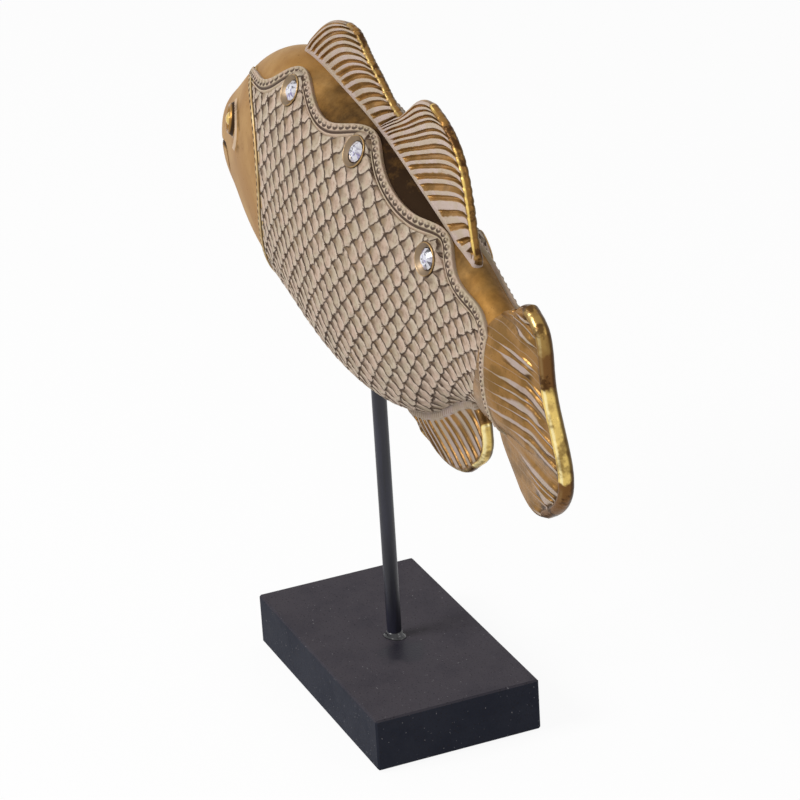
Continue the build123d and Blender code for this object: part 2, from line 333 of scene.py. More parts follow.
# %% Finishes
class Finish:
    def __init__(self, name, **constants):
        self.material = bpy.data.materials.new(name)
        self.material.use_nodes = True
        self.tree = self.material.node_tree
        self.shader = self.tree.nodes["Principled BSDF"]
        for socket, value in constants.items():
            self.shader.inputs[socket.replace("_", " ")].default_value = value
        print("finish", name)

    def node(self, kind, *details, **more):
        return add_node(self.tree, kind, *details, **more)

    def place(self):
        return self.node("ShaderNodeTexCoord", output="Object")

    def moved(self, **values):
        """The place, stretched by a Scale or shifted by a Location."""
        return self.node("ShaderNodeMapping", (), {"Vector": self.place(), **values})

    def axes(self, vector=None):
        """The three numbers of a place or direction."""
        split = self.node("ShaderNodeSeparateXYZ", (), {0: vector or self.place()}).socket.node
        return [Signal(self.tree, output) for output in split.outputs]

    def note(self, name):
        """A number kept on the mesh."""
        return self.node("ShaderNodeAttribute", {"attribute_name": name}, output="Fac")

    def noise(self, scale, detail=3, rough=0.5, vector=None):
        return self.node("ShaderNodeTexNoise", (), {"Vector": vector or self.place(), "Scale": scale,
                                                    "Detail": detail, "Roughness": rough})

    def mix(self, share, first, second):
        """A colour between two colours."""
        full = [v if isinstance(v, Signal) else (*v, 1) for v in (first, second)]
        return self.node("ShaderNodeMix", {"data_type": "RGBA"},
                         {0: share, 6: full[0], 7: full[1]}, output=2)

    def feed(self, **signals):
        for socket, value in signals.items():
            self.tree.links.new(value.socket, self.shader.inputs[socket.replace("_", " ")])

    def bump(self, height, depth, strength=1):
        """Fine relief, with its depth in millimetres."""
        self.feed(Normal=self.node("ShaderNodeBump", (), {
            "Height": height, "Distance": depth * mm, "Strength": strength}))


# %% [markdown]
# ## Gilding
# Cast resin is painted with satin gold with fine dark specks. Brown painted shade and painted dark
# reflections are added where a piece asks for them.
# The gold is part metal: a full mirror would show only the pale room, and paint is never that clean.

# %% Gold finishes
gold_colour, pale_gold, deep_gold = (.325, .162, .038), (.41, .235, .080), (.24, .110, .026)
rubbed_gold, speck_and_painted_dark_colour = (.62, .46, .32), (.018, .009, .005)


def gilding(name, metal, rough, painted_darkening=None, light=None, light_colour=rubbed_gold):
    """Satin gold paint with dark specks, brown where the painted darkening nears 1 and paler where
    light does.
    """
    gold = Finish(name, Specular_IOR_Level=.05)
    cloud, speck = gold.noise(38, 4, .55), gold.noise(900, 2)
    tone = gold.mix(cloud.ramp(.38, .66), gold_colour, pale_gold)
    tone = gold.mix(gold.noise(120, 3).ramp(.52, .70) * .35, tone, deep_gold)
    # The light share paints the brow's pale crest, and a painted highlight on the eye's ball.
    if light:
        tone = gold.mix(light(gold), tone, light_colour)
    speck_and_painted_dark = speck.ramp(.68, .76) * .55
    # Painted darkening from the piece joins the dark specks: painted dark reflections on the back, and
    # painted shade in hollows and grooves.
    if painted_darkening:
        speck_and_painted_dark = speck_and_painted_dark.most(painted_darkening(gold))
    gold.feed(Base_Color=gold.mix(speck_and_painted_dark, tone, speck_and_painted_dark_colour), Metallic=(1 - speck_and_painted_dark) * metal,
              Roughness=rough + cloud * .10 + speck_and_painted_dark * .30)
    gold.bump(gold.noise(420, 3) + gold.noise(60, 2), .12, .5)
    return gold


# %% [markdown]
# ## Painted darkening on the skin
# The back is golden behind the head and turns dark brown between the raised flanks, as a painted dark
# reflection. The change follows x, and noise makes its edge ragged. The mouth's groove and the hollow
# behind the brow are darkened with painted shade.

# %% The skin's gold
def saddle(gold):
    """Painted dark reflection along the back, and painted shade on the marks that the mesh keeps."""
    x, _, _ = gold.axes()
    edge, blotch = gold.noise(90, 5, .7), gold.noise(28, 3)
    # Painted dark reflection along the back.
    back = x.ramp(-.046, .022) * .86 + x.ramp(.018, .060) * .14 - x.ramp(.074, .100) * .66
    back = back + (edge - .5) * 1.5 * x.ramp(-.05, -.02) + (blotch - .5) * .7 * x.ramp(-.05, 0)
    # Painted shade in the hollow behind the brow, and, with the slit note, in the mouth's groove.
    marks = gold.note("shade") * edge.ramp(.42, .60) * .6
    return back.most(0).most(marks).most(gold.note("slit")).least(.97)


def brow(gold):
    return gold.note("crest").ramp(.10, .45) * .9


skin_gold = gilding("satin_gold", .42, .44, saddle, brow).material

# %% [markdown]
# ## Lines on the head
# The mouth is a groove that runs back from the nose and turns down at its corner. The brow is a
# thin raised arc behind the eye. Both are drawn as a few places that a smooth line passes through.

# %% Lines on the head
mouth = ((-.01, .002), (.030, .008), (.062, .019), (.084, .020), (.095, -.006), (.093, -.048))
brow_line = ((.178, .268), (.196, .255), (.212, .226), (.219, .187), (.211, .147), (.195, .116))


def from_line(x, z, shares):
    """Least distance to a smooth line drawn on the side of the head."""
    line = smooth(places(shares), 90)
    return np.min([np.hypot(x - px, z - pz) for px, pz in line], axis=0)


print("the mouth's corner is at", places(mouth[-1:]).round(1), "mm")

# %% [markdown]
# ## The smooth skin
# The head, the back and the tail root are one closed tube. A grid is bent round the sections, its
# long sides meet on the keel, and both ends shrink to a point. Its columns stand closer together
# near the nose, where the form is smallest.

# %% The tube
bm, u, v = grid(340, 192)
nose_cap, tail_cap = .012, .04
nose_round = 5.0
along = np.clip((u - nose_cap) / (1 - nose_cap - tail_cap), 0, 1)
packed = 1 - np.cos(along * np.pi / 2) ** 1.25
x = start_x + body_length * (.35 * packed + .65 * along)
w = 1 - np.abs(2 * v - 1) * 2
side = np.sign(v - .5)
middle, _, _ = section(x)
nose = np.clip((x - start_x) / nose_round, 0, 1)
shrink = np.where(u < nose_cap, 0, (1 - (1 - nose) ** 2.2) ** .5)
shrink = shrink * np.where(u > 1 - tail_cap, 1 - (u - 1 + tail_cap) / tail_cap, 1)
print("the tube has", len(bm.verts), "vertices")

# %% [markdown]
# ## Mouth and brow
# Both are small moves along the skin: the groove goes in and the brow comes out. The same distances
# become notes, so that the finish can darken the groove with painted shade and paint the brow pale. The
# painted shade in the hollow behind the brow starts halfway up and is broken once.

# %% Mouth and brow
mouth_depth, brow_height, brow_width = .8, 1.1, 1.2
hollow_shift, hollow_width, hollow_foot = 5, 2.2, 207
break_height, break_half = 216, 3.2
y, z = skin(x, w, 0)
beside_nose, on_head = y > .3, x < -60
lips = from_line(x, z, mouth)
groove = mouth_depth * (1 - ease(lips, .3, 1.6)) * beside_nose
# The slit note marks the mouth's groove for painted shade.
slit = (1 - ease(lips, .7, 2.0)) * beside_nose
crest = np.exp(-(from_line(x, z, brow_line) / brow_width) ** 2) * on_head
hollow = from_line(x - hollow_shift, z, brow_line)
shade = np.exp(-(hollow / hollow_width) ** 2) * on_head
shade = shade * (np.abs(z - break_height) > break_half) * ease(z, hollow_foot, hollow_foot + 3)
y, z = skin(x, w, brow_height * crest - groove)
points = np.stack([x, side * y * shrink, middle + (z - middle) * shrink], 1)
shape(bm, points, slit=slit, crest=crest, shade=shade)
piece(bm, "fish_skin", skin_gold, ("fish_body",))

# %% [markdown]
# ## Scales
# The scales stand in columns 4.7 mm apart, every second column half a step lower, so that each
# scale covers the gap between two others. One short formula gives how far a place is from the
# free edge of its own scale, and from the edge before it. It serves both the finish and the mesh,
# because it uses only sums, powers, floors and least values.

# %% The scale pattern
column_pitch, row_pitch = 4.7, 9.6
edge_bow, edge_power = 1.1, 1.7
too_far = 18


def whole(value):
    return value.floor() if isinstance(value, Signal) else np.floor(value)


def lesser(a, b):
    return a.least(b) if isinstance(a, Signal) else np.minimum(a, b)


def scale_edges(col, row):
    """Distance to the free edge ahead, and from the last edge behind, in columns."""
    base = whole(col)
    ahead, behind = col * 0 + 9, col * 0 + 9
    for step in (-2, -1, 0, 1):
        k = base + step
        part = row + (k - whole(k / 2) * 2) / 2
        t = abs(part - whole(part) - .5) * 2
        gap = k + edge_bow * (1 - t ** edge_power) - col
        ahead = lesser(ahead, gap + (gap < 0) * too_far)
        behind = lesser(behind, (gap > 0) * too_far - gap)
    return ahead, behind


print("edges at one place", scale_edges(np.array([2.3]), np.array([.4])))

# %% [markdown]
# ## Finish of the flank
# A cream wash lies over the gold, and brown painted shade fills the deep front corner of each scale. A
# painted highlight lightens the wash just in front of every free edge, a broken painted shadow line
# lies just behind it, and soft patches of the wash lean to pink or to green.

# %% The scale finish
def scale_finish():
    wash = Finish("cream_scales", Metallic=0, Specular_IOR_Level=.3)
    col = wash.note("col") + (wash.noise(300, 2) - .5) * .16
    ahead, behind = scale_edges(col, wash.note("row"))
    tint, blotch = wash.noise(150, 2), wash.noise(42, 3)
    grain, crumb = wash.noise(1500, 3, .6), wash.noise(520, 3, .6)
    cream = wash.mix(tint.ramp(.40, .60), (.455, .330, .250), (.405, .328, .232))
    # Painted highlight just in front of each free edge.
    cream = wash.mix(ahead.ramp(.45, .10) * .55, cream, (.55, .46, .37))
    cream = wash.mix(crumb.ramp(.47, .66) * .5, cream, (.25, .17, .115))
    # Painted shade in the deep front corner of each scale.
    deep = (ahead.ramp(.50, 1.65) * (.5 + crumb * .8)).least(.93)
    recess = wash.mix(blotch.ramp(.4, .6), (.190, .120, .058), (.145, .094, .058))
    tone = wash.mix(deep, cream, recess)
    # Painted shadow line just behind each free edge.
    broken = .45 + wash.noise(420, 2).ramp(.35, .52) * .55
    line = (behind + (wash.noise(260, 2) - .5) * .34).ramp(.32, .12) * broken
    tone = wash.mix(line, tone, (.058, .032, .018))
    keel = wash.note("keel")
    tone = wash.mix(keel.ramp(2.1, 1.5), tone, (.42, .34, .27))
    tone = wash.mix(abs(keel - 2.4).ramp(.5, .2) * .8, tone, (.13, .075, .04))
    tone = wash.mix(grain.ramp(.60, .72) * .40, tone, (.12, .075, .045))
    wash.feed(Base_Color=tone, Roughness=.46 + grain * .2)
    wash.bump(grain * .5 + crumb, .26, .8)
    return wash.material


scales = scale_finish()

# %% [markdown]
# ## Where the flank lies
# The flank is bounded by the gill edge in front, the scalloped border above, the tail end behind
# and the keel below. A place in it is found from u and v by a few rounds of the two conditions.

# %% The flank's outline
gill_line = smooth(places(gill), 400)
gill_line = gill_line[gill_line[:, 1] > section(gill_line[:, 0])[0] - section(gill_line[:, 0])[1]]
gill_round = round_place(gill_line[:, 0], gill_line[:, 1])
scallop_line = smooth(places(scallops), 1200)
scallop_round = round_place(scallop_line[:, 0], scallop_line[:, 1])


def flank_places(u, v):
    """X and w on the flank, u from gill to tail and v from border to keel."""
    w = .5 - 1.5 * v
    x = start_x + body_length * (.3 + .7 * u)
    for _ in range(12):
        front = np.interp(w, gill_round, gill_line[:, 0])
        x = front + (end_x - front) * u
        top = np.interp(x, scallop_line[:, 0], scallop_round)
        w = top * (1 - v) - v
    return x, w, front, top


print("the flank runs from x", gill_line[:, 0].min().round(1), "to", end_x, "mm")

# %% [markdown]
# ## Seats for the stones and eyes
# Whatever is set on the flank needs a place there and the direction in which the skin faces. One
# matrix holds both. The stones face more to the side than the skin does, each in a smooth collar.

# %% Seats
stones = {"front": (.425, .484), "middle": (.630, .411), "rear": (.840, .201)}
stone_lift, stone_tilt, cup_radius = 1.9, .45, 6.4


def seat(share, grow, direction, sideways=0):
    """A place on the flank with its Z axis along the skin's normal."""
    x, z = places([share]).T
    w = round_place(x, z)
    y, _ = skin(x, w, grow)
    above, below = skin(x, w + .02, grow), skin(x, w - .02, grow)
    behind, ahead = skin(x + .5, w, grow), skin(x - .5, w, grow)
    normal = np.cross([1, (behind[0] - ahead[0])[0], (behind[1] - ahead[1])[0]],
                      [0, (above[0] - below[0])[0], (above[1] - below[1])[0]])
    normal *= np.sign(normal[1])
    normal = normal / np.linalg.norm(normal) + [0, sideways, 0]
    normal = Vector((normal[0], direction * normal[1], normal[2])).normalized()
    origin = Vector((x[0], direction * y[0], z[0])) * mm
    level = Vector((1, 0, 0)) - normal * normal.x
    level.normalize()
    turn = Matrix((level, normal.cross(level), normal)).transposed().to_4x4()
    return Matrix.Translation(origin) @ turn


def collar(points, base):
    """Smooths the sheet round a stone to a flat collar, and lets it dive inside the cup's wall."""
    turn, origin = np.array(base.to_3x3()), np.array(base.translation) / mm
    local = (points - origin) @ turn
    far = np.hypot(local[:, 0], local[:, 1])
    flat = .2 - 3.6 * (1 - ease(far, cup_radius - .7, cup_radius - .1))
    keep = ease(far, cup_radius + .4, cup_radius + 3.2)
    near = np.abs(local[:, 2]) < 12
    local[:, 2] = np.where(near, local[:, 2] * keep + flat * (1 - keep), local[:, 2])
    return local @ turn.T + origin


print("middle stone sits at", seat(stones["middle"], stone_lift, -1, stone_tilt).translation)

# %% [markdown]
# ## Height of the scales
# Each scale rises towards its free edge and drops behind it. Hand-carved scales are never quite
# alike, so a few seeded waves bend the columns and rows and add soft lumps.

# %% Height of the scales
def waves(a, b, seed, shortest, longest):
    """A smooth random field over the plane, mostly between -1 and 1, from a few seeded waves."""
    chance = np.random.default_rng(seed)
    total = 0
    for _ in range(14):
        length, turn, phase = chance.uniform(shortest, longest), *chance.uniform(0, math.tau, 2)
        total = total + np.sin((a * math.cos(turn) + b * math.sin(turn)) * math.tau / length + phase)
    return total / math.sqrt(14)


def scale_height(col, row):
    """Height of the scales from 0 to 1, averaged over a small patch so that edges aren't jagged."""
    total = 0
    for dc in (-.035, 0, .035):
        for dr in (-.02, 0, .02):
            ahead, _ = scale_edges(col + dc, row + dr)
            total = total + 1 - ahead / 2.05
    return total / 9


print("height at one place", scale_height(np.array([2.3]), np.array([.4])).round(2))

# %% [markdown]
# ## The scaled flanks
# The sheet of scales stands up to 1.3 mm over the body. Near the gill and the border it dives
# under the strips that cover its edge there, and at the keel both flanks meet in a smooth band.
# The rows narrow with the body towards the tail, so the scales get smaller there.

# %% The scaled flanks
under_skin, lowest_scale, keel_band = -.5, .30, 1.0
border_cover, gill_cover = 4.3, 1.3


def flank(name, direction):
    bm, u, v = grid(400, 236)
    x, w, front, top = flank_places(u, v)
    length = girth(x, w)
    belly = -girth(x, np.full_like(x, -1))
    keel = length + belly
    taper = (belly / belly.max()) ** .3
    col = x / column_pitch + 40 + .055 * waves(x, length, 2, 2.6, 7)
    row = length / (row_pitch * taper) + 40 + .02 * waves(x, length, 3, 2.6, 7)
    height = scale_height(col, row) + .09 * waves(x, length, 4, 1.8, 4)
    crown = girth(scallop_line[:, 0], scallop_round)
    slope = np.interp(x, scallop_line[:, 0], np.gradient(crown) / np.gradient(scallop_line[:, 0]))
    near = (girth(x, top) - length) / np.hypot(1, slope)
    inside = np.minimum(np.minimum(near, end_x - x) - border_cover, x - front - gill_cover)
    raised = lowest_scale + height
    raised = raised + (keel_band - raised) * (1 - ease(keel, .8, 2.2))
    grow = under_skin + (raised - under_skin) * ease(inside, .1, .9)
    y, z = skin(x, w, grow)
    points = np.stack([x, direction * y, z], 1)
    for share in stones.values():
        points = collar(points, seat(share, stone_lift, direction, stone_tilt))
    shape(bm, points, col=col, row=row, keel=keel)
    piece(bm, name, scales, outward=(0, direction, 0))


flank("flank_left", -1)
flank("flank_right", 1)

# %% [markdown]
# ## Strips along an edge
# The beaded border and the gill hem are both ribbons that follow a line on the skin. The frame of
# a ribbon gives, at each step, the place on the skin and the direction across the line there.

# %% The frame of a ribbon
def ribbon_frame(line, inward):
    """The line on the skin, its length so far, and the direction across it."""
    x, z = line[:, 0], line[:, 1]
    w = round_place(x, z)
    y, _ = skin(x, w, 0)
    spine = np.stack([x, y, z], 1)
    steps = np.concatenate([[0], np.cumsum(np.linalg.norm(np.diff(spine, axis=0), axis=1))])
    kernel = np.hanning(13) / np.hanning(13).sum()
    padded = np.pad(np.gradient(spine, axis=0), ((6, 6), (0, 0)), mode="edge")
    ahead = np.stack([np.convolve(padded[:, i], kernel, "valid") for i in range(3)], 1)
    up = np.clip(w + .05, -1, 1)
    ya, za = skin(x, up, 0)
    yb, zb = skin(x, up - .1, 0)
    behind = np.clip(x + .5, start_x, end_x)
    yc, zc = skin(behind, w, 0)
    yd, zd = skin(behind - 1, w, 0)
    outward = np.cross(np.stack([np.ones_like(x), yc - yd, zc - zd], 1),
                       np.stack([0 * x, ya - yb, za - zb], 1))
    outward *= np.sign(outward[:, 1:2] + 1e-9)
    beside = np.cross(outward, ahead)
    beside /= np.linalg.norm(beside, axis=1)[:, None]
    beside *= np.sign(np.sum(beside * np.array(inward), axis=1).mean())
    return spine, steps, beside


print("the border is", ribbon_frame(even(scallop_line, 861), (-.3, 0, -1))[1][-1].round(1), "mm long")

# %% [markdown]
# ## Laying a ribbon
# The height over the skin comes from a profile across the ribbon. A row of beads or pits is added
# along it: each vertex finds its distance to the nearest bead and keeps it as a note.

# %% Strips
def strip(name, line, direction, inward, profile, finish, pitch, centre, pit, columns, rows):
    """A ribbon on the skin, beside a line given in the XZ plane, with a row of pits or beads."""
    spine, steps, beside = ribbon_frame(even(line, columns + 1), inward)
    bm, u, v = grid(columns, rows)
    i = np.clip(np.round(u * columns).astype(int), 0, columns)
    far = profile[0][0] + v * (profile[-1][0] - profile[0][0])
    spot = spine[i] + beside[i] * far[:, None]
    x = np.clip(spot[:, 0], start_x, end_x)
    walk = steps[i]
    nearest = (np.floor(walk / pitch) + .5) * pitch
    bead = np.hypot(walk - nearest, far - centre)
    height = np.interp(far, *zip(*profile)) + pit(bead)
    y, z = skin(x, round_place(x, spot[:, 2]), height)
    shape(bm, np.stack([x, direction * y, z], 1), far=far, bead=bead)
    piece(bm, name, finish, outward=(0, direction, 0))


def border_pit(bead):
    """A low bead inside a pressed ring."""
    return .30 * np.clip(1 - (bead / .75) ** 2, 0, 1) ** .5 - .42 * np.exp(-((bead - .98) / .26) ** 2)


def gill_pit(bead):
    """A small round hole."""
    return -.35 * (1 - ease(bead, .2, .75))


print("a bead's middle stands", round(float(border_pit(np.zeros(1))[0]), 2), "mm over the border")

# %% [markdown]
# ## Finish of the strips
# The border is washed cream and the gill hem is gold, and both are dark in the same places: in the
# grooves beside the ridge, and round or in the beads. On the border the ring round each bead is painted
# shade, dark on the inner side only.

# %% Strip finishes
def strip_finish(name, base, dark, lines, ring, gilded):
    """Lines are (distance, half width). The ring is (radius, half width, where it turns dark)."""
    coat = gilding(name, .75, .30) if gilded else Finish(name, Metallic=0, Specular_IOR_Level=.3)
    far, bead = coat.note("far"), coat.note("bead")
    grain = coat.noise(1300, 3, .6)
    tone = coat.mix(coat.noise(160, 2).ramp(.4, .6), base[0], base[1])
    tone = coat.mix(grain.ramp(.58, .75) * .35, tone, (.30, .20, .12))
    radius, half_width, turns = ring
    # Painted shade on the ring round each bead, darkest on its inner side.
    shaded_inner_side = (far - turns).ramp(-.45, .5) * .88 + .12
    mask = abs(bead - radius).ramp(half_width, half_width * .35) * shaded_inner_side * (.9 + grain * .5)
    for middle, half in lines:
        mask = mask.most(abs(far - middle).ramp(half, half * .45))
    tone = coat.mix((mask * (.85 + grain * .3)).least(.96), tone, dark)
    coat.feed(Base_Color=tone, Roughness=.42 + grain * .2)
    coat.bump(grain, .05, .4)
    return coat.material


border_finish = strip_finish("beaded_border", ((.47, .35, .26), (.43, .345, .235)),
                             (.060, .032, .018), ((3.75, .66),), (.95, .70, 1.7), False)
hem_finish = strip_finish("gill_hem", ((.50, .33, .15), (.62, .46, .24)),
                          (.045, .022, .010), ((1.05, .75), (-.35, .20)), (0, 1.5, -3.2), True)

# %% [markdown]
# ## Border and gill hem
# The border follows the scallops and then drops down the end of the body beside the tail. Each
# profile lists places across the strip: the distance from the line, and the height over the skin.

# %% Border and gill hem
border_bead_pitch, gill_dot_pitch = 3.3, 3.2
tail_drop = np.stack([np.full(40, end_x), np.linspace(places([(1, .06)])[0, 1],
                                                      form[-1, 2] + .01, 40)], 1)
border_line = np.concatenate([scallop_line, tail_drop[1:]])
border_profile = (
    (-.55, -.3), (-.3, .4), (0, 1.35), (.3, 1.72), (.6, 1.8), (2.8, 1.8), (3.15, 1.75),
    (3.35, 1.3), (3.5, .45), (3.95, .45), (4.3, 1.05), (4.7, 1.05), (5.2, .1),
)
hem_profile = (
    (-3.4, -.35), (-2.7, .4), (-2.2, 1.2), (-1.8, 1.45), (-.6, 1.5), (-.3, 1.6), (.15, 1.6),
    (.5, 1.15), (.75, .55), (1.3, .55), (1.6, .9), (2.0, .8), (2.3, .1),
)
for tag, direction in (("left", -1), ("right", 1)):
    strip("border_" + tag, border_line, direction, (-.3, 0, -1), border_profile, border_finish,
          border_bead_pitch, 1.7, border_pit, columns=860, rows=30)
    strip("gill_hem_" + tag, gill_line, direction, (1, 0, 0), hem_profile, hem_finish,
          gill_dot_pitch, -1.3, gill_pit, columns=330, rows=30)

# %% [markdown]
# ## Finish of the fins
# The rays keep a cream wash and the grooves between them show gold, with a painted shadow line beside
# each ray. The rim is bare gold with painted highlights, and painted dark reflections elsewhere. All of
# it follows the notes that the fin's mesh keeps: the ray's number, and the distances from the rim and
# from the root.

# %% Rays and grooves
def dimmed(shade, *colours):
    return [tuple(shade * c for c in colour) for colour in colours]


def ray_paint(coat, share, shade, rim_width, band):
    """The cream colour, and how much of it lies on each place."""
    grain = coat.noise(1100, 3, .6)
    ray, hem = coat.note("ray"), coat.note("hem")
    ragged = coat.note("rim") + (coat.noise(230, 3, .6) - .5) * 2.2
    part = ray - ray.floor() - .5 + (coat.noise(260, 2) - .5) * .13
    cream = coat.mix(coat.noise(130, 2).ramp(.4, .6), *dimmed(shade, (.465, .370, .325),
                                                              (.435, .350, .270)))
    cream = coat.mix(grain.ramp(.58, .74) * .40, cream, (.26, .175, .11))
    crest = (share + .10 - abs(part) * 2).ramp(0, .14) * ragged.ramp(rim_width - .3, rim_width + .5)
    if band:
        crest = crest.most((hem + (coat.noise(180, 2) - .5) * 2.4).ramp(band + .5, band))
    wash = (crest * (coat.noise(85, 3, .6).ramp(.30, .42) * .25 + .75)).least(1)
    return cream, wash, grain, ragged, part


def groove_paint(coat, share, shade, rim_width, streaks, grain, ragged, part):
    """Gold between the rays, dark in the grooves near the rim, with a painted shadow line beside each
    ray.
    """
    phase = abs(part) * 2
    field = coat.mix(coat.noise(140, 3).ramp(.42, .62), *dimmed(shade, (.355, .187, .058),
                                                               (.245, .130, .038)))
    reach = 40 if streaks else 20
    # A painted shadow line beside each ray.
    line = abs(part * 2 - share - .18).ramp(.24, .08) * ragged.ramp(rim_width + reach, rim_width + 2)
    if streaks:
        # On the tail the ragged dark edge inside the rim is a painted dark reflection.
        serrate = ragged.ramp(rim_width - .9, rim_width) * ragged.ramp(rim_width + 3.2, rim_width + .6)
        line = line * coat.note("streak").ramp(.1, .5) * .9
        pit = (serrate * phase.ramp(.05, .38) * (.6 + grain * .6)).most(line)
    else:
        pit = phase.ramp(.45, .75) * ragged.ramp(rim_width - .2, rim_width + .8)
        pit = pit * ragged.ramp(rim_width + 6, rim_width + 1.5) * (.4 + grain * .6)
        pit = pit.most(line * .75)
    return coat.mix(pit.most(grain.ramp(.62, .76) * .4).least(.92), field, (.045, .022, .009))


print("a dimmed cream", dimmed(.9, (.465, .370, .325)))

# %% [markdown]
# ## The rim's gold
# A painted highlight follows the rim's crown as a thin bright line. On the tail and the anal fin whole
# stretches of the rim carry painted highlights instead, given as heights over the table in metres with
# a strength, and the gold between them is darkened as a painted dark reflection. Dark patches and the
# far side of the rim are painted dark reflections too.

# %% Rim and whole fin
def rim_paint(coat, rim_width, glow, crown_strength, crest_gold, ragged):
    rim = coat.note("rim")
    _, beside, height = coat.axes()
    height = height + (coat.noise(170, 4) - .5) * .018
    # A painted highlight along the crown of the rim.
    crown = abs(rim - rim_width * .55).ramp(rim_width * .38, rim_width * .16)
    shine = crown * coat.noise(40, 2).ramp(.40, .52) * crown_strength
    face = (ragged * .5 + rim * .5).ramp(rim_width * .95, rim_width * .75)
    face = face * (coat.noise(230, 3).ramp(.36, .55) * .45 + .55)
    # The glow bands are painted highlights on the rim's face.
    for low, high, strength in glow:
        lit = height.ramp(low - .001, low + .001) * height.ramp(high + .001, high - .001)
        shine = shine.most(face * lit * strength)
    # Dark patches on the rim are painted dark reflections.
    dark_reflection_patches = coat.noise(120, 4, .65).ramp(.48, .58) * (1 - shine * .9)
    # With highlight bands the rim's base gold is darker, as a painted dark reflection.
    bright = coat.mix(shine, (.17, .080, .026) if glow else (.27, .140, .040), crest_gold)
    if glow:
        # A painted highlight line in the middle of the rim's face.
        middle = abs(ragged * .3 + rim * .7 - rim_width * .40).ramp(.7, .2)
        bright = coat.mix(shine * middle * .8, bright, (.96, .84, .46))
    bright = coat.mix(dark_reflection_patches, bright, (.075, .034, .011))
    # The far side of the rim is darkened as a painted dark reflection.
    return coat.mix(beside.ramp(.0001, .0013) * .88, bright, (.060, .028, .010))


def fin_finish(name, cream_share, rim_width, band=0, streaks=False, metal=.8, shade=1, glow=(),
               crown_strength=1, crest_gold=(.80, .57, .17)):
    """Cream rays and gold grooves inside a gold rim."""
    coat = Finish(name, Specular_IOR_Level=.05)
    share = coat.note("streak") * cream_share if streaks else cream_share
    cream, wash, grain, ragged, part = ray_paint(coat, share, shade, rim_width, band)
    field = groove_paint(coat, share, shade, rim_width, streaks, grain, ragged, part)
    bright = rim_paint(coat, rim_width, glow, crown_strength, crest_gold, ragged)
    gold = coat.mix(ragged.ramp(rim_width + .2, rim_width - .5), field, bright)
    coat.feed(Base_Color=coat.mix(wash, gold, cream), Metallic=(1 - wash) * metal,
              Roughness=.24 + wash * .28 + grain * .10)
    coat.bump(grain * .5 + coat.noise(500, 2) + coat.noise(180, 2), .16, .7)
    return coat


front_coat = fin_finish("front_lobe_wash", .43, .9, band=1.0, metal=.3, shade=.93,
                        crest_gold=(.42, .29, .10)).material
rear_coat = fin_finish("rear_lobe_wash", .47, 1.2, band=1.0, metal=.4).material
anal_coat = fin_finish("anal_wash", .28, 1.9, band=3.8, metal=.45, shade=.72,
                       glow=((.137, .170, 1),), crown_strength=.25)
tail_coat = fin_finish("tail_wash", .41, 3.2, streaks=True, metal=.7, shade=.87,
                       glow=((.206, .224, .25), (.164, .195, 1)), crown_strength=.0625).material

# %% [markdown]
# ## Hatching on the anal fin's root
# The band along the root of the anal fin carries fine upright ticks. They are only painted, as painted
# shade for grooves a fifth of a millimetre deep at most, and they are laid over the finish made above.

# %% Hatching
tick_pitch = 1.9
x, _, _ = anal_coat.axes()
x = x / (tick_pitch * mm)
hem = anal_coat.note("hem")
# The dark ticks are painted shade for the fine grooves.
tick = (abs(x - x.floor() - .5) * 2).ramp(.45, .75) * hem.ramp(.9, 1.3) * hem.ramp(3.4, 3.0)
painted = Signal(anal_coat.tree, anal_coat.shader.inputs["Base Color"].links[0].from_socket)
anal_coat.feed(Base_Color=anal_coat.mix(tick * .6, painted, (.15, .09, .05)))
print("one tick every", tick_pitch, "mm")

# %% [markdown]
# ## Fins
# A fin is a patch between four curved sides. Lines of equal u are its rays, so the ridges follow
# the way the rays fan out.

# %% Patches and rays
def patch(bottom, top, left, right, u, v, lean):
    """A point between four sides. Rays start closer together in front where lean is above 1."""
    def at(line, share):
        q = np.linspace(0, 1, len(line))
        return np.stack([np.interp(share, q, line[:, 0]), np.interp(share, q, line[:, 1])], 1)
    a, b = u[:, None], v[:, None]
    corners = ((1 - a) * (1 - b) * bottom[0] + a * (1 - b) * bottom[-1]
               + (1 - a) * b * top[0] + a * b * top[-1])
    rays = (1 - b) * at(bottom, u ** lean) + b * at(top, u)
    return rays + (1 - a) * at(left, v) + a * at(right, v) - corners


def distance(points, line):
    """Least distance from each point to a line."""
    best = np.full(len(points), 1e9)
    for a, b in zip(line[:-1], line[1:]):
        run = b - a
        t = np.clip(((points - a) @ run) / (run @ run), 0, 1)
        best = np.minimum(best, np.linalg.norm(points - a - t[:, None] * run, axis=1))
    return best


def ridge(phase):
    """1 along the middle of a ray and 0 in the groove beside it."""
    away = np.abs(phase - np.floor(phase) - .5) * 2
    return (1 - ease(away, .50, .95)) * (1 - .25 * away ** 2)


def lumpy_edge(top, bottom, count, phases, lump, chance):
    """The outer edge, pulled in between the ends of the rays."""
    inward = np.stack([np.gradient(top[:, 1]), -np.gradient(top[:, 0])], 1)
    inward /= np.linalg.norm(inward, axis=1)[:, None]
    inward *= np.sign(np.sum(inward * (bottom.mean(0) - top), axis=1).mean())
    size = chance.uniform(.3, 1, 60)[np.floor(phases).astype(int) + 2]
    ends = ease(count, 0, .04) * (1 - ease(count, .96, 1))
    return top + inward * ((.12 + lump * size * (1 - ridge(phases))) * ends + .05)[:, None]


print("ridge and groove", ridge(np.array([.5, 1.0])))

# %% [markdown]
# ## One fin
# Only one half is built, as a height over the middle plane. It comes down to zero at the rim, and
# the mirror operator then adds the other half and closes the seam. The height starts as a rounded
# plate, and the grooves, the band at the root and the swollen root are added to it in turn.

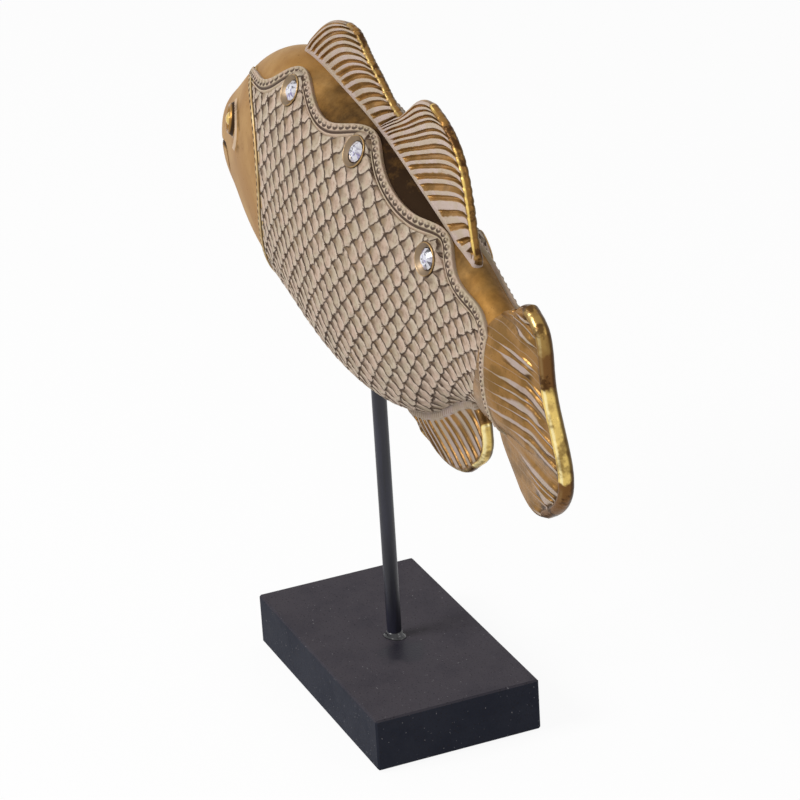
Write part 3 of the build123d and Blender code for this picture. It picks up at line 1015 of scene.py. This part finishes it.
# %% One fin
def fin(name, sides, edges, coat, thickness, rays, lean, lump, rim_width, band=0, over=None,
        nodes=(), depth=1.0, root=None, streak=None, bow=0, arch=0, slim=1, wander=.16, seed=3,
        columns=340, rows=120):
    """The sides are its root, outer edge, first ray and last ray, in shares of the body."""
    bottom, top, left, right = (smooth(places(side), 200) for side in sides)
    chance = np.random.default_rng(seed)
    count = np.linspace(0, 1, 200)
    phases = count * rays + np.interp(count, np.linspace(0, 1, 40), chance.uniform(-wander, wander, 40))
    top = lumpy_edge(top, bottom, count, phases, lump, chance)
    bm, u, v = grid(columns, rows)
    flat = patch(bottom, top, left, right, u, v, lean)
    flat[:, 1] += (bow * (1 - 2 * u) + arch) * 16 * v * (1 - v) * u * (1 - u)
    rim = distance(flat, top[::2])
    edge = rim
    for line in edges:
        edge = np.minimum(edge, distance(flat, smooth(places(line), 60)))
    hem = over(flat[:, 0], flat[:, 1]) if over else np.full(len(flat), 99.0)
    phase = np.interp(u, count, phases)
    strength = streak(phase, v, chance) if streak else np.ones_like(u)

    half = thickness / 2 * (slim + (1 - slim) * ease(rim, 2, 14))
    rise = half * np.sqrt(1 - (1 - np.clip(edge / half, 0, 1)) ** 2)
    field = ease(rim, rim_width - .5, rim_width + 1) * ease(edge, .5, 2)
    field = field * ease(hem, band - .4, band + 1)
    rise = rise - depth * field * (1 - ridge(phase) * strength) * (1.5 - .5 * ease(rim, 4, 10))
    rise = rise + .25 * (1 - ease(hem, band, band + .8)) * ease(edge, 0, 2)
    rise = rise + lump * .4 * ridge(phase) * (1 - ease(rim, 2, 4)) * ease(rim, .2, 1.4)
    if root:
        swell = root(flat[:, 0], flat[:, 1])
        blend = (rise + swell + np.sqrt((swell - rise) ** 2 + 1.5)) / 2
        rise = rise + (blend - rise) * ease(swell, 0, 1.5) * ease(edge, .1, 2)
    walls = (v < 1e-6) | (v > 1 - 1e-6) | (u < 1e-6) | (u > 1 - 1e-6)
    rise = np.where(walls, 0, np.maximum(rise, .15 * np.minimum(edge * 4, 1)))

    shape(bm, np.stack([flat[:, 0], -rise, flat[:, 1]], 1), ray=phase, rim=rim, hem=hem,
          streak=strength)
    bmesh.ops.mirror(bm, geom=bm.verts[:] + bm.edges[:] + bm.faces[:], axis="Y", merge_dist=1e-6)
    piece(bm, name, coat, nodes)


# %% [markdown]
# ## The dorsal fin
# The fin on the back has two lobes, and the rear one starts inside the end of the front one. Each
# lobe stands on a narrow pale ledge, so its finish needs the height over the body's back.

# %% The dorsal fin
def above_back(x, z):
    """Height over the body's back."""
    middle, rise, _ = section(np.clip(x, start_x, end_x))
    return z - middle - rise


front_edge = ((.350, .520), (.355, .556), (.391, .638), (.454, .723), (.519, .757))
rear_edge = ((.688, .553), (.726, .612), (.758, .656), (.798, .669))
rear_end = ((.900, .15), (.914, .19), (.920, .245))
valley = ((.600, .44), (.645, .50), (.688, .553))
fin("dorsal_front", (
    ((.350, .520), (.46, .49), (.600, .44)),
    ((.519, .757), (.545, .752), (.583, .690), (.615, .646), (.657, .582), (.688, .553)),
    front_edge,
    valley,
), (front_edge,), front_coat, thickness=6, rays=14, lean=1.5, lump=.45, rim_width=.9, band=1.0,
    over=above_back, nodes=("dorsal_fin",), arch=2.5, slim=.6)
fin("dorsal_rear", (
    ((.600, .44), (.70, .38), (.80, .29), (.900, .15)),
    ((.798, .669), (.831, .643), (.862, .597), (.885, .530), (.898, .453), (.905, .385), (.912, .30),
     (.920, .245)),
    valley[:2] + rear_edge,
    rear_end,
), (rear_edge, rear_end), rear_coat, thickness=6, rays=17, lean=1.8, lump=.35, rim_width=1.2,
    band=1.0, over=above_back, arch=3, slim=.6, seed=5)

# %% [markdown]
# ## The anal fin
# This fin hangs under the end of the belly. It is built as the dorsal fin is, only smaller, with
# shallower grooves and a wider hatched band at its root.

# %% The anal fin
def under_belly(x, z):
    """Depth below the body's belly."""
    middle, rise, _ = section(np.clip(x, start_x, end_x))
    return middle - rise - z


anal_edge = ((.664, -.43), (.652, -.490), (.703, -.538))
fin("anal", (
    ((.664, -.43), (.75, -.39), (.840, -.28)),
    ((.703, -.538), (.748, -.580), (.796, -.591), (.826, -.580), (.856, -.554), (.883, -.509),
     (.910, -.459), (.922, -.400), (.920, -.330)),
    anal_edge,
    ((.840, -.28), (.895, -.27), (.920, -.330)),
), (anal_edge, ((.910, -.190), (.920, -.330))), anal_coat.material, thickness=5, rays=13, lean=1.9,
    lump=.12, rim_width=1.9, band=3.4, over=under_belly, nodes=("anal_fin",), depth=.8, bow=-2,
    seed=7, columns=260)

# %% [markdown]
# ## The tail fin
# The tail is a plate that swells towards its root until it meets the end of the body. Its rays
# are streaks of wash that start and stop at different places on the smooth gold.

# %% The tail's root and streaks
end_middle, end_rise, _ = (float(value) for value in section(np.array(end_x)))
plate_half, root_length = 3.4, 24


def tail_root(x, z):
    """Half thickness of the swollen root, from the body's end to the plate."""
    body, _ = skin(np.full_like(x, end_x), round_place(np.full_like(x, end_x), z), 1.5)
    inside = np.abs(z - end_middle) < end_rise
    share = ease(x, end_x - 1, end_x + root_length)
    half = (body * (1 - share) + np.minimum(body, plate_half) * share) * inside
    return half * (1 - ease(x, end_x + root_length - 6, end_x + root_length + 2))


def tail_streaks(phase, v, chance):
    """Each streak starts thin somewhere on the tail and swells before it stops near the rim."""
    number = np.floor(phase).astype(int)
    begins = chance.uniform(.05, .55, 40)[number]
    stops = begins + chance.uniform(.25, .75, 40)[number]
    bold = np.clip(chance.uniform(-.7, 1.5, 40), 0, 1)[number]
    return bold * ease(v, begins, begins + .3) * (1 - ease(v, stops, stops + .15))


print("the body's end is", round(2 * end_rise, 1), "mm deep")

# %% [markdown]
# ## The outline of the tail
# The root of the tail patch lies inside the end of the body. Its first and last sides are the two
# rounded corners of the fin, and its lower front edge is an open edge too.

# %% The tail fin
tail_tip = ((1.035, .173), (1.056, .207), (1.075, .222))
tail_foot = ((.966, -.26), (.972, -.30), (1.004, -.388), (1.030, -.448))
tail_toe = ((1.030, -.448), (1.056, -.479), (1.079, -.484), (1.104, -.468))
fin("tail", (
    ((1.035, .173), (.996, .122), (.985, .05), (.970, -.08), (.953, -.18)) + tail_foot[1:],
    ((1.075, .222), (1.092, .205), (1.111, .168), (1.120, .110), (1.125, -.010), (1.139, -.101),
     (1.153, -.172), (1.165, -.255), (1.163, -.335), (1.131, -.431), (1.104, -.468)),
    tail_tip,
    tail_toe,
), (tail_tip, tail_toe, tail_foot), tail_coat, thickness=7, rays=24, lean=1.45, lump=.08,
    rim_width=3.2, nodes=("tail_fin",), depth=.9, root=tail_root, streak=tail_streaks, bow=1,
    arch=3.5, slim=.85, wander=.36, columns=320, rows=150)

# %% [markdown]
# ## Turned pieces
# Eyes, cups and the glue are turned: a profile of a few places is spun round an axis. The eyes and
# the cups are turned upright and then set on the skin with their axis along its normal.

# %% Turned pieces
def turned(profile, steps, matrix, noisy=None):
    """A profile of (radius, height) in millimetres spun round an axis and set in place."""
    bm = bmesh.new()
    layer = bm.verts.layers.float.new("ring")
    line = [bm.verts.new((r * mm, 0, h * mm)) for r, h in profile]
    for vertex, (r, h) in zip(line, profile):
        vertex[layer] = r
    edges = [bm.edges.new(pair) for pair in zip(line[:-1], line[1:])]
    bmesh.ops.spin(bm, geom=line + edges, cent=(0, 0, 0), axis=(0, 0, 1), dvec=(0, 0, 0),
                   angle=math.tau, steps=steps, use_merge=True)
    bmesh.ops.remove_doubles(bm, verts=bm.verts, dist=1e-6)
    if noisy:
        for vertex in bm.verts:
            vertex.co = Vector(noisy(vertex.co))
    bmesh.ops.transform(bm, matrix=matrix, verts=bm.verts)
    return bm


# %% [markdown]
# ## Eyes
# An eye is a bulging gold ball inside a raised lid. Painted shade darkens the groove between them and
# the foot of the lid, and a painted highlight makes the ball paler. The finish finds both from the
# radius that each vertex keeps.

# %% Eyes
eye_place = (.1766, .206)


# Painted shade in the groove round the ball and at the foot of the lid.
def eye_groove_shade(gold):
    ring = gold.note("ring")
    return abs(ring - 4.0).ramp(.95, .5).most(abs(ring - 6.7).ramp(.75, .3)) * .95


# A painted highlight on the ball.
def eye_ball_highlight(gold):
    return gold.note("ring").ramp(3.2, 2.2)


eye_gold = gilding("eye_gold", .8, .2, eye_groove_shade, eye_ball_highlight, (.72, .50, .17)).material
ball = [(3.9 * math.sin(a), 4.6 * math.cos(a) - 1.3) for a in np.linspace(0, math.radians(64), 22)]
lid = [(3.8, .5), (4.3, .3), (4.6, 1.1), (5.0, 2.1), (5.5, 2.4), (6.0, 2.0), (6.5, 1.0), (7.1, .2),
       (7.9, -.3)]
for tag, direction in (("left", -1), ("right", 1)):
    bm = turned(ball + lid, 64, seat(eye_place, 0, direction))
    piece(bm, "eye_" + tag, eye_gold, outward=(0, direction, 0))

# %% [markdown]
# ## Cups
# A cup is a low turned wall with a rounded lip. The lip is worn gold, the inside is coated with the
# dull wash, and a painted shadow darkens the foot of the wall where it meets the collar of the flank.

# %% Cups
cup_gold = Finish("cup_gold", Metallic=.9)
worn, ring = cup_gold.noise(500, 3), cup_gold.note("ring")
inner = (ring.ramp(6.08, 5.88) * (.72 + worn * .4)).most(abs(ring - 4.2).ramp(.3, .1)).least(.95)
tone = cup_gold.mix(worn.ramp(.45, .65), (.38, .24, .10), (.17, .105, .05))
# Painted shadow ring at the foot of the cup's wall.
tone = cup_gold.mix(ring.ramp(6.33, 6.40) * .9, tone, (.045, .026, .013))
cup_gold.feed(Base_Color=cup_gold.mix(inner, tone, (.24, .175, .115)), Roughness=.26 + worn * .25)
cup_gold.bump(worn, .10, .6)

cup_profile = [(cup_radius, -3.2), (cup_radius, .3), (6.32, .75), (6.15, .95), (6.0, .95), (5.85, .8),
               (5.1, .1), (4.4, -.4), (4.15, -.6), (4.1, -1.8), (0, -1.9)]
set_stones = [(tag + "_" + name, seat(share, stone_lift, direction, stone_tilt))
              for name, share in stones.items() for tag, direction in (("left", -1), ("right", 1))]
for name, base in set_stones:
    piece(turned(cup_profile, 56, base), "cup_" + name, cup_gold.material,
          ("cup_" + name,))

# %% [markdown]
# ## Finish of the crystals
# A real stone is clear over a silver foil and shows bright, dark and violet facets. Here every facet
# keeps a random number, and the finish turns that number into one of six tones, which are painted
# reflections, with small pale painted glints over them.

# %% Crystal finish
stone = Finish("cut_crystal", IOR=1.6, Coat_Weight=1.0, Coat_Roughness=.02)
facet = stone.note("facet")
# The six facet tones are painted reflections.
facet_reflections = stone.node("ShaderNodeValToRGB", (), {0: facet}, stops=(
    (0, (.56, .56, .61)), (.30, (.36, .34, .42)), (.48, (.07, .06, .09)),
    (.62, (.60, .60, .68)), (.78, (.20, .17, .36)), (.88, (.03, .03, .04)),
))
# Pale spots over the facets are painted glints.
stone.feed(Base_Color=stone.mix(stone.noise(900, 1).ramp(.45, .6) * .3, facet_reflections, (.85, .85, .9)),
           Roughness=.05 + facet * .05)

# %% [markdown]
# ## Crystals
# A crystal is made of two cones with twelve sides: one narrows downwards and a flatter one narrows
# upwards. The side faces are split into triangles, and the flat table is inset and split again.

# %% Crystals
crystal_radius = 4.05 * mm
chance = np.random.default_rng(11)


def crystal(name, base):
    bm = bmesh.new()
    bmesh.ops.create_cone(bm, segments=12, cap_ends=True, radius1=crystal_radius * .25,
                          radius2=crystal_radius, depth=1.6 * mm,
                          matrix=Matrix.Translation((0, 0, -1.1 * mm)))
    bmesh.ops.create_cone(bm, segments=12, cap_ends=True, radius1=crystal_radius,
                          radius2=crystal_radius * .56, depth=1.3 * mm,
                          matrix=Matrix.Translation((0, 0, .35 * mm)))
    bmesh.ops.triangulate(bm, faces=[f for f in bm.faces if len(f.verts) == 4])
    table = max(bm.faces, key=lambda f: f.calc_center_median().z)
    bmesh.ops.inset_region(bm, faces=[table], thickness=crystal_radius * .16, depth=.12 * mm)
    table = max(bm.faces, key=lambda f: f.calc_center_median().z)
    bmesh.ops.poke(bm, faces=[table])
    layer = bm.faces.layers.float.new("facet")
    for f in bm.faces:
        f[layer] = chance.random()
    bmesh.ops.transform(bm, matrix=base, verts=bm.verts)
    piece(bm, "crystal_" + name, stone.material, ("crystal_" + name,), sharp=True)


for name, base in set_stones:
    crystal(name, base)

# %% [markdown]
# ## Paint of the rod
# The rod keeps its CAD mesh and gets satin black paint, with faint streaks along its length from
# the brush. The streaks are noise that is squeezed in X and Y and stretched in Z.

# %% Rod paint
rod_paint = Finish("rod_black", Metallic=0, Specular_IOR_Level=.5)
brushed = rod_paint.noise(60, 3, vector=rod_paint.moved(Scale=(6, 6, .5)))
rod_paint.feed(Base_Color=rod_paint.mix(brushed.ramp(.4, .65), (.006, .006, .012), (.013, .013, .026)),
               Roughness=.30 + brushed * .16)
rod_paint.bump(rod_paint.noise(700, 3), .08, .4)

# %% [markdown]
# ## Glue at the foot of the rod
# The glue is a hand-made blob: a turned skirt pushed in and out by a slow wave, with a glossy
# black finish. It stands on the block and clings to the rod.

# %% Glue
glue_finish = Finish("black_glue", Coat_Weight=.3)
blots = glue_finish.noise(700, 3)
glue_finish.feed(Base_Color=glue_finish.mix(blots.ramp(.6, .75), (.003, .003, .005), (.03, .03, .04)),
                 Roughness=.10 + blots * .25)
glue_finish.bump(glue_finish.noise(420, 2), .4, .7)


def lumpy(co):
    """Pushes the skirt in and out, more at its foot than beside the rod."""
    turn, far = math.atan2(co.y, co.x), math.hypot(co.x, co.y)
    push = 1 + .16 * math.sin(2 * turn + .6) * min(1, max(0, (far / mm - 3.1) / 1.2))
    return (co.x * push, co.y * push, co.z)


glue_foot, glue_top = 22.9, 25.5
glue_profile = [(2.9, glue_top + .05), (3.15, glue_top), (3.35, 24.7), (3.75, 24.0), (4.1, 23.6),
                (4.4, 23.3), (4.5, 22.95), (2.9, glue_foot), (2.9, glue_top + .05)]
bm = turned(glue_profile, 56, Matrix.Identity(4), lumpy)
piece(bm, "glue_blob", glue_finish.material, ("glue_bead",))

# %% [markdown]
# ## Paint of the block
# The block is matt charcoal with fine dark and pale specks, and painted shade makes its sides cooler
# and darker than its top. Beside the rod lies a smear of glue, a darker and smoother patch with a
# ragged edge.

# %% Block paint
block_paint = Finish("block_charcoal", Specular_IOR_Level=.15)
mottle, specks = block_paint.noise(55, 5, .65), block_paint.noise(1300, 2)
pale_specks = block_paint.noise(900, 1, vector=block_paint.moved(Location=(3, 1, 2)))
_, _, facing_up = block_paint.axes(block_paint.node("ShaderNodeNewGeometry", output="Normal"))
# Painted shade: faces that don't look up get a cooler, darker tone.
on_top = facing_up.ramp(.4, .9)
tone = block_paint.mix(on_top, (.014, .016, .026), (.050, .044, .053))
blotch = block_paint.mix(on_top, (.009, .011, .020), (.038, .034, .043))
tone = block_paint.mix(mottle.ramp(.42, .68) * .7, tone, blotch)
tone = block_paint.mix(specks.ramp(.60, .70) * .8, tone, (.012, .010, .012))
tone = block_paint.mix(pale_specks.ramp(.735, .78) * .5, tone, (.25, .24, .25))

smear_x, smear_y = .0144, -.0030
x, y, _ = block_paint.axes()
far = ((x - smear_x) * (x - smear_x) + (y - smear_y) * (y - smear_y)) ** .5
far = far + (block_paint.noise(140, 4, .6) - .5) * .016
smear = far.ramp(.0125, .006) * on_top
tone = block_paint.mix(smear * .85, tone, (.012, .011, .018))
block_paint.feed(Base_Color=tone, Roughness=.62 + mottle * .2 - smear * .30)
block_paint.bump(specks + mottle * 2, .16, .5)

# %% [markdown]
# ## Felt and hidden fittings
# The felt lies under the block, and the screw and washer sit in the recess under the rod. They
# keep their CAD meshes, because the bores and edges are already true.

# %% Felt and fittings
felt_finish = Finish("black_felt", Roughness=.95, Sheen_Weight=.4)
fuzz = felt_finish.noise(1600, 4, .7)
felt_finish.feed(Base_Color=felt_finish.mix(fuzz, (.008, .008, .009), (.035, .035, .038)))
felt_finish.bump(fuzz, .3, .8)

zinc = Finish("zinc_steel", Metallic=1)
spangle = zinc.noise(240, 4)
zinc.feed(Base_Color=zinc.mix(spangle, (.45, .45, .47), (.66, .66, .68)), Roughness=.28 + spangle * .2)
zinc.bump(spangle, .04, .3)

# %% [markdown]
# ## Finishes on the CAD meshes
# A CAD node is never moved or changed. It only gets another material.

# %% Finishes on the CAD meshes
for node, coat in (("base_block", block_paint), ("felt_sheet", felt_finish), ("support_rod", rod_paint),
                   ("base_washer", zinc), ("base_screw", zinc)):
    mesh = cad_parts[node].data
    mesh.materials.clear()
    mesh.materials.append(coat.material)
    print(node, "gets", coat.material.name)

# %% [markdown]
# ## Camera
# The camera stands where the photograph was taken from, found from the corners of the block. Its
# matrix holds the three directions of the view in its columns, and the place in the last one.

# %% Camera
camera = bpy.data.objects.new("camera", bpy.data.cameras.new("camera"))
scene.collection.objects.link(camera)
scene.camera = camera
camera.data.sensor_width, camera.data.lens = 36, 155.68
camera.matrix_world = Matrix((
    (.39557, -.34752, .85015, 1.16041),
    (.91662, .20757, -.34165, -.45755),
    (-.05773, .91441, .40065, .67243),
    (0, 0, 0, 1),
))
camera.data.clip_end = 20
print("camera at", camera.matrix_world.translation)

# %% [markdown]
# ## The room
# The world gives an even soft light. Camera, glossy and transmission rays see it as plain white,
# so that the ground behind the fish is white and metal reflects the same room, and no extra light
# falls on the fish.

# %% The room
scene.view_settings.view_transform = "Standard"
room_strength = .42
world = bpy.data.worlds.new("room")
scene.world = world
world.use_nodes = True
tree = world.node_tree
rays = add_node(tree, "ShaderNodeLightPath").socket.node.outputs
seen = Signal(tree, rays["Is Camera Ray"]).most(Signal(tree, rays["Is Glossy Ray"]))
seen = seen.most(Signal(tree, rays["Is Transmission Ray"]))
backing = tree.nodes["Background"]
backing.inputs["Color"].default_value = (1, 1, 1, 1)
tree.links.new((seen * (1 - room_strength) + room_strength).socket, backing.inputs["Strength"])
print("the room lights the fish at", room_strength)

# %% [markdown]
# ## Lamps
# One larger lamp in front and to the left shows the relief without hard shadows. A weak one
# beyond the tail lifts the edges that face away from the first.

# %% Lamps
def lamp(name, place, size, energy, target=(0, 0, .15)):
    light = bpy.data.lights.new(name, "AREA")
    light.size, light.energy = size, energy
    thing = bpy.data.objects.new(name, light)
    scene.collection.objects.link(thing)
    thing.location = place
    thing.rotation_euler = (Vector(target) - Vector(place)).to_track_quat("-Z", "Y").to_euler()
    print("lamp", name, energy, "W")


lamp("key", (-.1, -1.4, 1.2), size=.7, energy=22)
lamp("rear", (1.1, .9, 1.2), size=.5, energy=2)

# %% [markdown]
# ## Floor
# The floor is a plain pale sheet. Most of it glows white for camera and glossy rays only, and the
# rest is an ordinary surface, which keeps a faint shadow under the block.

# %% Floor
bm = bmesh.new()
bmesh.ops.create_grid(bm, x_segments=1, y_segments=1, size=8)
mesh = bpy.data.meshes.new("floor")
bm.to_mesh(mesh)
bm.free()
floor = bpy.data.objects.new("floor", mesh)
scene.collection.objects.link(floor)
ground = Finish("floor_white", Roughness=.9)
ground.feed(Base_Color=ground.mix(ground.noise(3), (.93, .93, .93), (.95, .95, .95)))
rays = ground.node("ShaderNodeLightPath").socket.node.outputs
seen = Signal(ground.tree, rays["Is Camera Ray"]).most(Signal(ground.tree, rays["Is Glossy Ray"]))
glow = ground.node("ShaderNodeEmission", (), {"Color": (1, 1, 1, 1), "Strength": 1})
surface = Signal(ground.tree, ground.shader.outputs[0])
blend = ground.node("ShaderNodeMixShader", (), {0: seen * .93, 1: surface, 2: glow})
ground.tree.links.new(blend.socket, ground.tree.nodes["Material Output"].inputs[0])
mesh.materials.append(ground.material)

# %% [markdown]
# The visual model has to stay inside the CAD model's box.

